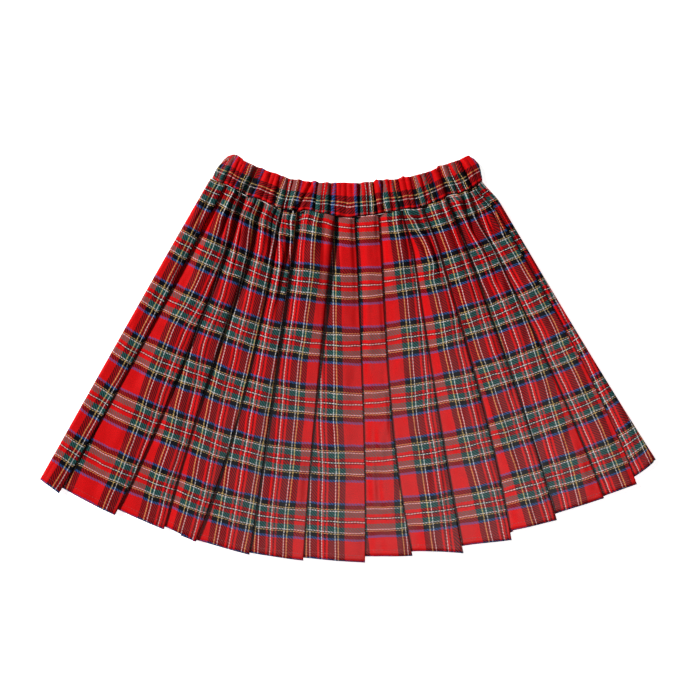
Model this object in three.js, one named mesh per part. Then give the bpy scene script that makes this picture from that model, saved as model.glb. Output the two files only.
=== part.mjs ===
// A tartan skirt laid flat: fourteen knife pleats in front, fourteen behind, and a gathered
// elastic waistband. It lies on z = 0 with its hem towards -Y and its waist towards +Y.
// The pleats fan out, so every section is worked out in polar terms: an angle in degrees from
// straight down (+X side positive) and a radius in millimetres from one centre above the waist.
import * as THREE from 'three';

// ---- driving dimensions, millimetres and degrees ----
const wall = 1.0;            // one thickness of the twill
const layerStep = 1.4;       // centre line to centre line of two layers pressed together
const layerGap = 0.4;        // air between neighbouring walls
const seamGap = 0.55;        // air at the waist seam, less where its straight steps bow in

const seamRadius = 294.8;    // where the pleats are sewn into the waistband
const meanHemRadius = 671;
const waistStation = 335;    // radii at which the pleat table gives its angles
const midStation = 473;
const hemStation = 665;

const softFoldHem = 0.7;     // radius of a fold's centre line at the hem
const softFoldWaist = 1.7;   // and under the waistband, where the gathers stand up
const sideRoll = 3.3;        // how far the side bends before it lies flat
const pleatShare = 0.42;     // most of a pleat's width that its fold may reach back
const pleatMargin = 2.0;     // and this much more
const faceClearance = 1.8;   // from the end of a face's climb to the fold hidden under it
const backRamp = 7.0;        // the back's faces climb within this width, then lie flat
const comeOutStep = 0.2;     // a face comes out this much past the air beside the fold before

const bandTopRadius = 259.4;
const bandWall = 3.0;        // two thicknesses of twill with the elastic between them
const bandRise = 2.6;        // height of the band's gathers
const bandInnerAir = 0.5;    // between the band's front and its back
const bandEndLeft = -30.95;
const bandEndRight = 30.75;
const bandSeamPull = 0.35;   // degrees that the band is drawn in at its seam
const bandEndEase = 8;       // its gathers flatten out this close to each end
const bandSteps = { front: 72, back: 24, end: 4 };

// One row a pleat, left to right. foldWaist, foldMid and foldHem are the angles of its folded
// edge at the three stations, tuck is how far the fold reaches back at the hem, and hemStart
// and hemEnd are the radii of its bottom edge where it comes out and at its fold.
const pleats = [
  { foldWaist: -27.5, foldMid: -27.6, foldHem: -28.0, tuck: 12.6, hemStart: 676.0, hemEnd: 679.0 },
  { foldWaist: -22.3, foldMid: -21.8, foldHem: -22.4, tuck: 18.0, hemStart: 672.5, hemEnd: 674.5 },
  { foldWaist: -17.9, foldMid: -18.1, foldHem: -17.7, tuck: 19.8, hemStart: 668.0, hemEnd: 671.0 },
  { foldWaist: -13.9, foldMid: -13.3, foldHem: -14.4, tuck: 20.0, hemStart: 668.0, hemEnd: 674.0 },
  { foldWaist: -10.6, foldMid: -9.8, foldHem: -9.35, tuck: 17.5, hemStart: 672.5, hemEnd: 676.0 },
  { foldWaist: -3.3, foldMid: -4.1, foldHem: -4.3, tuck: 13.0, hemStart: 674.0, hemEnd: 675.5 },
  { foldWaist: 1.4, foldMid: 1.7, foldHem: 1.5, tuck: 26.0, hemStart: 672.5, hemEnd: 676.0 },
  { foldWaist: 6.0, foldMid: 5.2, foldHem: 5.9, tuck: 20.0, hemStart: 669.5, hemEnd: 672.0 },
  { foldWaist: 11.8, foldMid: 11.0, foldHem: 10.7, tuck: 10.0, hemStart: 667.5, hemEnd: 677.0 },
  { foldWaist: 16.4, foldMid: 16.4, foldHem: 15.4, tuck: 16.8, hemStart: 669.5, hemEnd: 675.0 },
  { foldWaist: 21.2, foldMid: 20.9, foldHem: 20.0, tuck: 22.0, hemStart: 665.5, hemEnd: 669.0 },
  { foldWaist: 25.6, foldMid: 25.6, foldHem: 24.9, tuck: 17.3, hemStart: 662.5, hemEnd: 666.5 },
  { foldWaist: 29.2, foldMid: 29.5, foldHem: 28.3, tuck: 14.0, hemStart: 665.0, hemEnd: 669.0 },
];
// The last pleat ends at the side seam instead of at a fold.
const lastPleat = { hemStart: 661.0, hemEnd: 656.0 };
const sideLeft = { waist: -31.0, mid: -30.6, hem: -30.25 };
const sideRight = { waist: 30.8, mid: 30.75, hem: 31.0 };

// The panel behind is pleated alike, a little unevenly, and its hem hangs slightly shorter.
const backSway = 0.45;       // degrees that its folds wander from the front's
const backShorter = 4.0;
const hemReach = 1.2;        // and it stays inside the front's hem this many degrees to each side

// Creases in the gathered band: where each lies and how wide it is, degrees.
const bandCreases = [
  { at: -28.3, width: 0.7, depth: 1.0 },
  { at: -25.0, width: 0.8, depth: 0.6 },
  { at: -22.6, width: 0.8, depth: 1.0 },
  { at: -16.7, width: 0.8, depth: 0.7 },
  { at: -13.2, width: 0.8, depth: 0.9 },
  { at: -9.4, width: 0.9, depth: 1.0 },
  { at: -4.6, width: 0.8, depth: 0.9 },
  { at: 2.3, width: 0.8, depth: 0.8 },
  { at: 6.7, width: 0.8, depth: 1.0 },
  { at: 11.3, width: 0.9, depth: 0.7 },
  { at: 15.0, width: 0.7, depth: 0.6 },
  { at: 18.1, width: 0.8, depth: 0.9 },
  { at: 21.9, width: 0.8, depth: 1.0 },
  { at: 25.4, width: 0.8, depth: 0.7 },
  { at: 27.9, width: 0.8, depth: 0.9 },
];

// How far down each section of the panels lies, 0 at the waist seam and 1 at the hem.
const lengthRows = [0, 0.05, 0.12, 0.23, 0.38, 0.55, 0.72, 0.88, 1];

// ---- worked out from them ----
const degree = Math.PI / 180;
const half = wall / 2;
const backInner = half + 2 * layerStep;              // centre line of the back's inmost layer
const sideMeet = backInner + half + layerGap / 2;    // height of the side seams
const frontInner = sideMeet + layerGap / 2 + half;   // centre line of the front's inmost layer
const comeOut = wall + layerGap + comeOutStep;        // from one fold to where the next face shows

// A smooth curve in radius through the three stations.
function along(radius, waist, mid, hem) {
  const a = (radius - midStation) * (radius - hemStation)
    / ((waistStation - midStation) * (waistStation - hemStation));
  const b = (radius - waistStation) * (radius - hemStation)
    / ((midStation - waistStation) * (midStation - hemStation));
  const c = (radius - waistStation) * (radius - midStation)
    / ((hemStation - waistStation) * (hemStation - midStation));
  return waist * a + mid * b + hem * c;
}

const smooth = (f) => f * f * (3 - 2 * f);

// An arc of the centre line: from angle a to angle b about (s, z), radii rs and rz.
function arc(path, s, z, rs, rz, a, b, steps, hem) {
  for (let k = 0; k <= steps; k += 1) {
    const q = (a + (b - a) * k / steps) * degree;
    path.push({ s: s + rs * Math.cos(q), z: z + rz * Math.sin(q), hem });
  }
}

// The centre line of one pleated panel across one section, from its first side seam to its
// other one. s runs along the arc, z is the height above the panel's inmost layer.
function panelPath(row, panel) {
  const radius = seamRadius + row * (meanHemRadius - seamRadius);
  const soft = softFoldHem + (panel.softFold - softFoldHem) * (1 - row) ** 2;
  const top = layerStep + 2 * soft;
  const path = [];
  const first = along(radius, panel.start.waist, panel.start.mid, panel.start.hem) * degree * radius;
  const last = along(radius, panel.end.waist, panel.end.mid, panel.end.hem) * degree * radius;
  const footRise = top - panel.sideZ;
  arc(path, first + half + sideRoll, panel.sideZ, sideRoll, footRise, 180, 90, 3,
    panel.rows[0].hemStart);
  let before = first + half + sideRoll;
  panel.rows.forEach((pleat, i) => {
    const fold = along(radius, pleat.foldWaist, pleat.foldMid, pleat.foldHem) * degree * radius;
    const width = fold - before;
    const tuck = Math.min(pleat.tuck * (1.25 - 0.25 * row), pleatShare * width + pleatMargin);
    const hemAt = (s) => pleat.hemStart
      + (pleat.hemEnd - pleat.hemStart) * ((s - before) / width) ** 1.6;
    // the face climbs over the fold hidden under it
    if (i > 0) {
      const from = before + comeOut;
      const room = fold - tuck - faceClearance - from;
      const ramp = panel.flatFace ? Math.min(room, backRamp) : room;
      const puck = panel.pucker * (1 - row) ** 3 * (i % 2 ? 1 : -1);
      for (const [f, lift] of [[0, 0], [0.36, puck], [0.7, -puck * 0.5], [1, 0]]) {
        const s = from + ramp * f;
        path.push({ s, z: top * smooth(f) + Math.max(lift, -0.3 * f), hem: hemAt(s) });
      }
    } else {
      path.push({ s: (before + fold - tuck) / 2, z: top, hem: hemAt(before + 0.3 * width) });
    }
    const middle = fold - tuck * 0.5;
    path.push({ s: middle, z: top + panel.crown * (1.6 - row), hem: hemAt(middle) });
    // the folded edge, the layer that runs back under it, and the hidden fold
    const under = i + 1 < panel.rows.length ? panel.rows[i + 1].hemStart : panel.tail.hemStart;
    arc(path, fold - soft, top - soft, soft, soft, 90, -90, 3, pleat.hemEnd);
    arc(path, fold - tuck + softFoldHem, layerStep / 2, softFoldHem, layerStep / 2, 90, 270, 3,
      (pleat.hemEnd + under) / 2 - 1);
    before = fold;
  });
  // the last face runs out to the second side seam
  const from = before + comeOut;
  const tail = panel.tail;
  const reach = Math.max(last - half - sideRoll - from, 0.6);
  for (const f of [0, 0.4, 0.75]) {
    const hem = tail.hemStart + (tail.hemEnd - tail.hemStart) * f;
    path.push({ s: from + reach * f, z: top * smooth(f), hem });
  }
  arc(path, from + reach, panel.sideZ, last - half - from - reach, footRise, 90, 0, 3, tail.hemEnd);
  return { radius, path };
}

// Points either side of a centre line, half a thickness away along its normal. Both ends are
// cut level, because the two panels meet edge to edge down their side seams.
function bothSides(path, thickness) {
  const outer = [];
  const inner = [];
  const n = path.length;
  for (let i = 0; i < n; i += 1) {
    const p = path[Math.max(i - 1, 0)];
    const q = path[i];
    const r = path[Math.min(i + 1, n - 1)];
    const u = new THREE.Vector2(q.s - p.s, q.z - p.z);
    const v = new THREE.Vector2(r.s - q.s, r.z - q.z);
    if (i === 0) u.copy(v.set(0, 1));
    if (i === n - 1) v.copy(u.set(0, -1));
    u.normalize();
    v.normalize();
    const bisector = u.clone().add(v).normalize();
    const reach = Math.min(1 / Math.max(bisector.dot(u), 0.5), 1.25) * thickness / 2;
    const nx = -bisector.y * reach;
    const nz = bisector.x * reach;
    outer.push({ s: q.s + nx, z: q.z + nz, hem: q.hem });
    inner.push({ s: q.s - nx, z: q.z - nz, hem: q.hem });
  }
  return outer.concat(inner.reverse());
}

// Rings of points, one a section, joined into one body. Where the last ring doesn't lead back
// to the first, each end is closed by a cut edge: a strip between the two sides of the wall.
function joinRings(rings, endless) {
  const count = rings[0].length;
  const positions = rings.flatMap((ring) => ring.flatMap((p) => [p.x, p.y, p.z]));
  const index = [];
  const spans = endless ? rings.length : rings.length - 1;
  for (let k = 0; k < spans; k += 1) {
    const next = (k + 1) % rings.length;
    for (let i = 0; i < count; i += 1) {
      const j = (i + 1) % count;
      const [a, b, c, d] = [k * count + i, k * count + j, next * count + i, next * count + j];
      index.push(a, b, d, a, d, c);
    }
  }
  if (!endless) {
    const far = (rings.length - 1) * count;
    for (let i = 0; i + 1 < count / 2; i += 1) {
      const other = count - 1 - i;
      for (const [a, b, c] of [[i, i + 1, other], [i + 1, other - 1, other]]) {
        index.push(a, c, b, far + a, far + b, far + c);
      }
    }
  }
  const geometry = new THREE.BufferGeometry();
  geometry.setAttribute('position', new THREE.Float32BufferAttribute(positions, 3));
  geometry.setIndex(index);
  geometry.computeVertexNormals();
  return geometry;
}

const place = (angle, radius, z) => ({ x: radius * Math.sin(angle), y: -radius * Math.cos(angle), z });

function buildPanel(panel) {
  const rings = lengthRows.map((row) => {
    const { radius, path } = panelPath(row, panel);
    return bothSides(path, wall).map((p) => {
      const at = seamRadius + seamGap / 2 + row * (p.hem - seamRadius);
      return place(panel.mirror * p.s / radius, at, panel.height(p.z));
    });
  });
  return joinRings(rings, false);
}

const front = {
  mirror: 1,
  softFold: softFoldWaist,
  crown: 0.5,
  pucker: 0.5,
  flatFace: false,
  sideZ: sideMeet + layerGap / 2 - frontInner,
  start: sideLeft,
  end: sideRight,
  rows: pleats,
  tail: lastPleat,
  height: (z) => frontInner + z,
};

// Seen from behind, the back's pleats turn the same way round the body as the front's.
const backRows = pleats.map((pleat, i) => {
  const sway = backSway * Math.sin(2.3 * i + 0.8);
  return {
    foldWaist: pleat.foldWaist + sway * 0.6,
    foldMid: pleat.foldMid + sway,
    foldHem: pleat.foldHem + sway,
    tuck: pleat.tuck,
    hemStart: 0,
    hemEnd: 0,
  };
});
// Its hem follows the front's from side to side, read at the mirrored angle.
function hemRadiusAt(angle) {
  const edges = [sideLeft.hem, ...pleats.map((p) => p.foldHem), sideRight.hem];
  const all = [...pleats, lastPleat];
  for (let i = 0; i < all.length; i += 1) {
    if (angle <= edges[i + 1] || i === all.length - 1) {
      const f = Math.min(Math.max((angle - edges[i]) / (edges[i + 1] - edges[i]), 0), 1);
      return all[i].hemStart + (all[i].hemEnd - all[i].hemStart) * f;
    }
  }
  return meanHemRadius;
}
const backEdges = [sideLeft.hem, ...backRows.map((p) => p.foldHem), sideRight.hem];
const backHem = (angle) => Math.min(...[-hemReach, 0, hemReach].map((turn) => hemRadiusAt(turn - angle)))
  - backShorter;
backRows.forEach((pleat, i) => {
  pleat.hemStart = backHem(backEdges[i]);
  pleat.hemEnd = backHem(backEdges[i + 1]);
});
const flip = (side) => ({ waist: -side.waist, mid: -side.mid, hem: -side.hem });
const back = {
  mirror: -1,
  softFold: softFoldHem,
  crown: 0,
  pucker: 0,
  flatFace: true,
  sideZ: backInner - (sideMeet - layerGap / 2),
  start: flip(sideRight),
  end: flip(sideLeft),
  rows: backRows,
  tail: { hemStart: backHem(backEdges.at(-2)), hemEnd: backHem(backEdges.at(-1)) },
  height: (z) => backInner - z,
};

// ---- the waistband: a flattened tube of doubled cloth, gathered by its elastic ----
// share is how much of the full wall a row has, ripple how high its gathers stand, and frill
// how far it follows the scallops of the top edge.
const bandRows = [
  { radius: bandTopRadius, share: 0.5, ripple: 1.0, frill: 1 },
  { radius: bandTopRadius + 1.2, share: 1.0, ripple: 1.0, frill: 1 },
  { radius: 272, share: 1.0, ripple: 0.9, frill: 0 },
  { radius: 285, share: 1.0, ripple: 0.9, frill: 0 },
  { radius: seamRadius - seamGap / 2, share: 1.0, ripple: 1.0, frill: 0 },
];
const bandPullFrom = 280;    // the seam draws in the rows past this radius
const bandBack = bandWall / 2;
const bandFront = bandBack + bandWall + bandInnerAir;

function bandHeight(angle) {
  let z = bandRise;
  bandCreases.forEach((crease) => {
    z -= bandRise * crease.depth * Math.exp(-(((angle - crease.at) / crease.width) ** 2));
  });
  return Math.max(z, 0);
}

// the top edge runs in small scallops between the creases
const scallop = (angle) => 0.9 * Math.sin(angle * 0.95 + 1.4) + 0.7 * Math.sin(angle * 2.1 + 0.5);

// The outer and the inner ring of the tube at one row.
function bandRing(row) {
  const path = [];
  const middle = (bandFront + bandRise / 2 + bandBack) / 2;
  const rise = middle - bandBack;
  const pull = row.radius > bandPullFrom ? bandSeamPull : 0;
  const left = (bandEndLeft + pull) * degree * row.radius + bandWall / 2 + rise;
  const right = (bandEndRight - pull) * degree * row.radius - bandWall / 2 - rise;
  for (let k = 0; k <= bandSteps.front; k += 1) {
    const s = left + (right - left) * k / bandSteps.front;
    const ease = smooth(Math.min((s - left) / bandEndEase, (right - s) / bandEndEase, 1));
    const gathers = bandHeight(s / row.radius / degree) * row.ripple - bandRise / 2;
    path.push({ s, z: bandFront + bandRise / 2 + gathers * ease });
  }
  arc(path, right, middle, rise, rise, 60, -60, bandSteps.end);
  for (let k = 0; k <= bandSteps.back; k += 1) {
    path.push({ s: right + (left - right) * k / bandSteps.back, z: bandBack });
  }
  arc(path, left, middle, rise, rise, 240, 120, bandSteps.end);
  const n = path.length;
  return [1, -1].map((sign) => path.map((q, i) => {
    const p = path[(i + n - 1) % n];
    const r = path[(i + 1) % n];
    const t = new THREE.Vector2(r.s - p.s, r.z - p.z).normalize();
    const reach = sign * row.share * bandWall / 2;
    const angle = (q.s - t.y * reach) / row.radius;
    return place(angle, row.radius + row.frill * scallop(angle / degree), q.z + t.x * reach);
  }));
}

// An open tube: its outer and inner skins meet round the top edge and round the seam.
function buildBand() {
  const rings = bandRows.map(bandRing);
  return joinRings([...rings.map((r) => r[0]), ...rings.map((r) => r[1]).reverse()], true);
}

function volumeOf(geometry) {
  const p = geometry.getAttribute('position');
  const index = geometry.getIndex().array;
  const corner = [0, 1, 2].map(() => new THREE.Vector3());
  let sum = 0;
  for (let i = 0; i < index.length; i += 3) {
    corner.forEach((c, k) => c.fromBufferAttribute(p, index[i + k]));
    sum += corner[0].dot(corner[1].clone().cross(corner[2])) / 6;
  }
  return sum;
}

// Faces are turned to point out of the cloth.
function outward(geometry) {
  if (volumeOf(geometry) > 0) return geometry;
  const index = geometry.getIndex().array;
  for (let i = 0; i < index.length; i += 3) [index[i], index[i + 1]] = [index[i + 1], index[i]];
  geometry.computeVertexNormals();
  return geometry;
}

const skirt = new THREE.Group();
const pieces = [
  { name: 'front_panel', geometry: buildPanel(front), colour: 0xb3202b },
  { name: 'back_panel', geometry: buildPanel(back), colour: 0xa01c28 },
  { name: 'waistband', geometry: buildBand(), colour: 0xc0262f },
];

// The origin is at the middle of the skirt's outline, on the surface that it lies on.
const box = new THREE.Box3();
pieces.forEach(({ geometry }) => {
  geometry.computeBoundingBox();
  box.union(geometry.boundingBox);
});
const middle = box.getCenter(new THREE.Vector3());
pieces.forEach(({ name, geometry, colour }) => {
  geometry.translate(-middle.x, -middle.y, -box.min.z);
  const material = new THREE.MeshStandardMaterial({ color: colour, roughness: 0.85, metalness: 0 });
  const mesh = new THREE.Mesh(outward(geometry), material);
  mesh.name = name;
  skirt.add(mesh);
});

export default skirt;
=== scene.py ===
import math

import bmesh
import bpy
from mathutils import Matrix, Vector, noise


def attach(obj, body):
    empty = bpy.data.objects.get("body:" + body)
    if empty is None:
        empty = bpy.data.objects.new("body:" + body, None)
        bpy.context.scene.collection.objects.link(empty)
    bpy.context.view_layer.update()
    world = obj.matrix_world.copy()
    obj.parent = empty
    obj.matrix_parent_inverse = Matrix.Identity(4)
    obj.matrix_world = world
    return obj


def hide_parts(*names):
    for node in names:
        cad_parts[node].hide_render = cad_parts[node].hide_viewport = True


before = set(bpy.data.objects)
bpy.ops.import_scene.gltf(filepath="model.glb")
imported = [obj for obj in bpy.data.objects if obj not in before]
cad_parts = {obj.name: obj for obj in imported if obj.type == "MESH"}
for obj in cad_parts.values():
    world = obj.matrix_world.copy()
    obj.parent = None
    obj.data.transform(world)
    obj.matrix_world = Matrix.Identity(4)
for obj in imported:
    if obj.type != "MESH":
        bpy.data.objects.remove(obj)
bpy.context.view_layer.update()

mm = 0.001
mapUnit = 100.0      # mm of cloth in one unit of its UV map


def hexToLinear(code):
    parts = [int(code[i:i + 2], 16) / 255 for i in (0, 2, 4)]
    return [c / 12.92 if c <= 0.04045 else ((c + 0.055) / 1.055) ** 2.4 for c in parts] + [1.0]


def addNode(tree, kind, settings=None, links=None):
    node = tree.nodes.new(kind)
    for name, value in (settings or {}).items():
        if isinstance(name, int) or name in node.inputs:
            node.inputs[name].default_value = value
        else:
            setattr(node, name, value)
    for name, source in (links or {}).items():
        tree.links.new(source, node.inputs[name])
    return node


# Eases from nought to one.
def smooth(f):
    f = min(max(f, 0.0), 1.0)
    return f * f * (3 - 2 * f)


def newPiece(name, bm, material):
    mesh = bpy.data.meshes.new(name)
    bm.to_mesh(mesh)
    bm.free()
    mesh.materials.append(material)
    for polygon in mesh.polygons:
        polygon.use_smooth = True
    piece = bpy.data.objects.new(name, mesh)
    bpy.context.scene.collection.objects.link(piece)
    return piece


def addThickness(piece, thickness):
    shell = piece.modifiers.new("clothThickness", "SOLIDIFY")
    shell.thickness = thickness
    shell.offset = 0.0


# Where the skirt lies: it fans out round one centre above the waist, radii in mm, angles in degrees.
lay = {
    "centreX": 1.238, "centreY": 448.971,
    "seamRadius": 294.8, "hemRadius": 671.0,
    "waistStation": 335.0, "midStation": 473.0, "hemStation": 665.0,
    "seamGap": 0.3, "sagFade": 9,
    "hemBend": 0.45,           # how fast the hem's steps die out upwards
    "evenAbove": 20,           # mm above the edge where the weft no longer follows it
    "clothLength": 378.6,      # waist seam to hem along the cloth
    "warpSett": 83.6,          # one repeat of the tartan across the cloth
    "weftSett": 64.6,          # and down its length
    "thread": 0.85,            # thread spacing, drawn coarser than the real 0.5 mm
}


# A value at any radius, on the parabola through what it is at the three stations.
def along(radius, waist, mid, hem):
    a, b, c = lay["waistStation"], lay["midStation"], lay["hemStation"]
    return (waist * (radius - b) * (radius - c) / ((a - b) * (a - c))
            + mid * (radius - a) * (radius - c) / ((b - a) * (b - c))
            + hem * (radius - a) * (radius - b) / ((c - a) * (c - b)))


# Eased curve through listed points.
def between(points, at):
    if at <= points[0][0]:
        return points[0][1]
    for (a, p), (b, q) in zip(points, points[1:]):
        if at <= b:
            return p + (q - p) * smooth((at - a) / (b - a))
    return points[-1][1]


# How far the waist seam sags, in mm, round the front; its stitches pucker the cloth.
seamSag = [(-30, 0.3), (-27, -1.6), (-24, -0.4), (-22, 0.6), (-20, -1.0), (-17, 0.0), (-15, 1.5),
           (-12, 0.6), (-10.8, 0.8), (-9.5, -2.4), (-8, -2.4), (-6.6, -1.0), (-5, -1.3), (-3, 0.5),
           (0, 1.9), (2, 0.4), (5, 0.0), (8, -0.6), (12, -1.0), (15, 1.0), (20, 0.5), (22, -1.2),
           (25, 1.4), (27, 1.9), (29, 1.2), (31, 0.5)]


# A point on the lay: angle in radians from straight down, radius and height in mm.
def placed(angle, radius, height):
    return Vector((lay["centreX"] + radius * math.sin(angle),
                   lay["centreY"] - radius * math.cos(angle), height)) * mm


# Dyed yarns, and the sewing thread's two plies.
yarn = {
    "red": "e00e12", "black": "0f0d14", "green": "377d76", "blue": "366abe",
    "yellow": "d8b06c", "white": "e4dcd8", "thread": "7d1a20", "threadLight": "a8353a",
}

# Stripes across the cloth, in mm from the left edge of a red block.
warpStripes = [
    ("red", 32.2), ("black", 6.7), ("yellow", 1.2), ("black", 2.8), ("white", 1.2), ("black", 7.6),
    ("red", 2.5), ("black", 2.4), ("white", 1.2), ("red", 2.2), ("black", 1.9), ("red", 2.3),
    ("black", 7.8), ("white", 1.2), ("black", 2.3), ("yellow", 1.2), ("black", 7.0),
]
# Stripes down the cloth, in mm upwards from the middle of the blue line at the hem.
weftStripes = [
    ("blue", 1.2), ("red", 23.0), ("blue", 2.4), ("black", 4.7), ("yellow", 0.9), ("black", 1.0),
    ("white", 1.0), ("green", 5.6), ("red", 4.0), ("black", 0.9), ("white", 1.2), ("black", 1.0),
    ("red", 3.3), ("green", 5.6), ("white", 1.0), ("black", 1.0), ("yellow", 0.9), ("black", 4.7),
    ("blue", 1.2),
]
loftyYarns = ("yellow", "white")      # these are thicker and cover more of what they cross

# Pattern scales are per mm: sways about 24 mm long, patches of 11 mm, fuzz of 1 mm.
twillLook = {
    "swayScale": 0.042, "swayReach": (1.8, 3.6, 0.0),      # mm across and down the cloth
    "warpUnder": 0.25, "warpOver": 0.75,       # the warp's share of the colour at a crossing
    "loft": 0.17,                              # what a lofty yarn adds to its share
    "patchScale": 0.09, "patchDark": 0.86, "patchLight": 1.12,
    # painted shade between threads: darkest in the gaps, a touch lighter on the thread tops
    "pitShadeWidth": 0.3, "pitShadeDark": 0.58, "pitShadeLight": 1.04,
    "fuzzScale": 0.9, "fuzzDark": 0.8, "fuzzLight": 1.2, "fuzzLift": 0.8,
    "bump": 0.6, "roughness": 0.5, "gloss": 0.03,
    "sheen": 0.02, "sheenRoughness": 0.45, "sheenColour": "f0c8c4",
}
displayGamma = 2.2      # yarn colours blend as the eye sees them


def stripeRamp(tree, stripes, phase):
    node = addNode(tree, "ShaderNodeValToRGB", {}, {"Fac": phase})
    ramp = node.color_ramp
    ramp.interpolation = "CONSTANT"
    total = sum(width for _, width in stripes)
    start = 0.0
    for i, (name, width) in enumerate(stripes):
        stop = ramp.elements[i] if i < 1 else ramp.elements.new(start / total)
        stop.position = start / total
        stop.color = hexToLinear(yarn[name])[:3] + [1.0 if name in loftyYarns else 0.0]
        start += width
    ramp.elements.remove(ramp.elements[len(ramp.elements) - 1])
    return node


# Brushed acrylic and wool twill, yarn dyed: matt, with a faint nap that pales where it turns
# away, two-over-two diagonals, and each crossing a blend of its two yarns.
def makeTartan(name, bumpHeight):
    look = twillLook
    material = bpy.data.materials.new(name)
    material.use_nodes = True
    tree = material.node_tree
    shader = tree.nodes["Principled BSDF"]
    cloth = addNode(tree, "ShaderNodeUVMap", {"uv_map": "cloth"})
    inMm = addNode(tree, "ShaderNodeVectorMath", {"operation": "SCALE", "Scale": mapUnit},
                   {0: cloth.outputs["UV"]})
    # yarns wander a little, as woven ones do
    wander = addNode(tree, "ShaderNodeTexNoise", {"Scale": look["swayScale"], "Detail": 2.0},
                     {"Vector": inMm.outputs[0]})
    centred = addNode(tree, "ShaderNodeVectorMath", {"operation": "SUBTRACT", 1: (0.5, 0.5, 0.5)},
                      {0: wander.outputs["Color"]})
    shifted = addNode(tree, "ShaderNodeVectorMath",
                      {"operation": "MULTIPLY_ADD", 1: look["swayReach"]},
                      {0: centred.outputs[0], 2: inMm.outputs[0]})
    axes = addNode(tree, "ShaderNodeSeparateXYZ", {}, {0: shifted.outputs[0]})
    counts = []
    colours = []
    lofts = []
    for axis, stripes, sett in ((0, warpStripes, lay["warpSett"]), (1, weftStripes, lay["weftSett"])):
        count = addNode(tree, "ShaderNodeMath", {"operation": "DIVIDE", 1: lay["thread"]},
                        {0: axes.outputs[axis]})
        whole = addNode(tree, "ShaderNodeMath", {"operation": "FLOOR"}, {0: count.outputs[0]})
        repeat = addNode(tree, "ShaderNodeMath", {"operation": "DIVIDE", 1: sett},
                         {0: axes.outputs[axis]})
        phase = addNode(tree, "ShaderNodeMath", {"operation": "FRACT"}, {0: repeat.outputs[0]})
        ramp = stripeRamp(tree, stripes, phase.outputs[0])
        seen = addNode(tree, "ShaderNodeGamma", {"Gamma": 1 / displayGamma},
                       {"Color": ramp.outputs["Color"]})
        counts.append((count, whole))
        colours.append(seen.outputs[0])
        lofts.append(ramp.outputs["Alpha"])
    # two over, two under, stepping one thread each row
    step = addNode(tree, "ShaderNodeMath", {"operation": "ADD"},
                   {0: counts[0][1].outputs[0], 1: counts[1][1].outputs[0]})
    turn = addNode(tree, "ShaderNodeMath", {"operation": "FLOORED_MODULO", 1: 4.0},
                   {0: step.outputs[0]})
    warpUp = addNode(tree, "ShaderNodeMath", {"operation": "LESS_THAN", 1: 1.5},
                     {0: turn.outputs[0]})
    share = addNode(tree, "ShaderNodeMapRange", {"To Min": look["warpUnder"],
                                                 "To Max": look["warpOver"]},
                    {"Value": warpUp.outputs[0]})
    loft = addNode(tree, "ShaderNodeMath", {"operation": "SUBTRACT"}, {0: lofts[0], 1: lofts[1]})
    cover = addNode(tree, "ShaderNodeMath",
                    {"operation": "MULTIPLY_ADD", 1: look["loft"], "use_clamp": True},
                    {0: loft.outputs[0], 2: share.outputs[0]})
    blend = addNode(tree, "ShaderNodeMix", {"data_type": "RGBA"},
                    {0: cover.outputs[0], 6: colours[1], 7: colours[0]})
    dye = addNode(tree, "ShaderNodeGamma", {"Gamma": displayGamma}, {"Color": blend.outputs[2]})
    # patches of nap catch the dye unevenly
    patches = addNode(tree, "ShaderNodeTexNoise", {"Scale": look["patchScale"], "Detail": 4.0},
                      {"Vector": inMm.outputs[0]})
    tone = addNode(tree, "ShaderNodeMapRange", {"To Min": look["patchDark"],
                                                "To Max": look["patchLight"]},
                   {"Value": patches.outputs["Fac"]})
    dyed = addNode(tree, "ShaderNodeVectorMath", {"operation": "SCALE"},
                   {0: dye.outputs[0], "Scale": tone.outputs[0]})
    # thread relief, painted shade darkening the gaps between threads, and the soft fuzz over it
    ridges = []
    for count, _ in counts:
        part = addNode(tree, "ShaderNodeMath", {"operation": "FRACT"}, {0: count.outputs[0]})
        ridges.append(addNode(tree, "ShaderNodeMath", {"operation": "PINGPONG", 1: 0.5},
                              {0: part.outputs[0]}).outputs[0])
    relief = addNode(tree, "ShaderNodeMix", {"data_type": "FLOAT"},
                     {0: warpUp.outputs[0], 2: ridges[1], 3: ridges[0]})
    fuzz = addNode(tree, "ShaderNodeTexNoise", {"Scale": look["fuzzScale"], "Detail": 3.0},
                   {"Vector": inMm.outputs[0]})
    pitShade = addNode(tree, "ShaderNodeMapRange", {"From Max": look["pitShadeWidth"],
                                                "To Min": look["pitShadeDark"], "To Max": look["pitShadeLight"]},
                   {"Value": relief.outputs[0]})
    flecks = addNode(tree, "ShaderNodeMapRange", {"From Min": 0.3, "From Max": 0.7,
                                                  "To Min": look["fuzzDark"],
                                                  "To Max": look["fuzzLight"]},
                     {"Value": fuzz.outputs["Fac"]})
    both = addNode(tree, "ShaderNodeMath", {"operation": "MULTIPLY"},
                   {0: pitShade.outputs[0], 1: flecks.outputs[0]})
    # the dye with its fuzz flecks and the painted shade between threads
    fleckedAndPitShaded = addNode(tree, "ShaderNodeVectorMath", {"operation": "SCALE"},
                   {0: dyed.outputs[0], "Scale": both.outputs[0]})
    tree.links.new(fleckedAndPitShaded.outputs[0], shader.inputs["Base Color"])
    height = addNode(tree, "ShaderNodeMath", {"operation": "MULTIPLY_ADD", 1: look["fuzzLift"]},
                     {0: fuzz.outputs["Fac"], 2: relief.outputs[0]})
    bump = addNode(tree, "ShaderNodeBump", {"Strength": look["bump"], "Distance": bumpHeight * mm},
                   {"Height": height.outputs[0]})
    tree.links.new(bump.outputs[0], shader.inputs["Normal"])
    shader.inputs["Roughness"].default_value = look["roughness"]
    shader.inputs["Specular IOR Level"].default_value = look["gloss"]
    shader.inputs["Sheen Weight"].default_value = look["sheen"]
    shader.inputs["Sheen Roughness"].default_value = look["sheenRoughness"]
    shader.inputs["Sheen Tint"].default_value = hexToLinear(look["sheenColour"])
    return material


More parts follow.
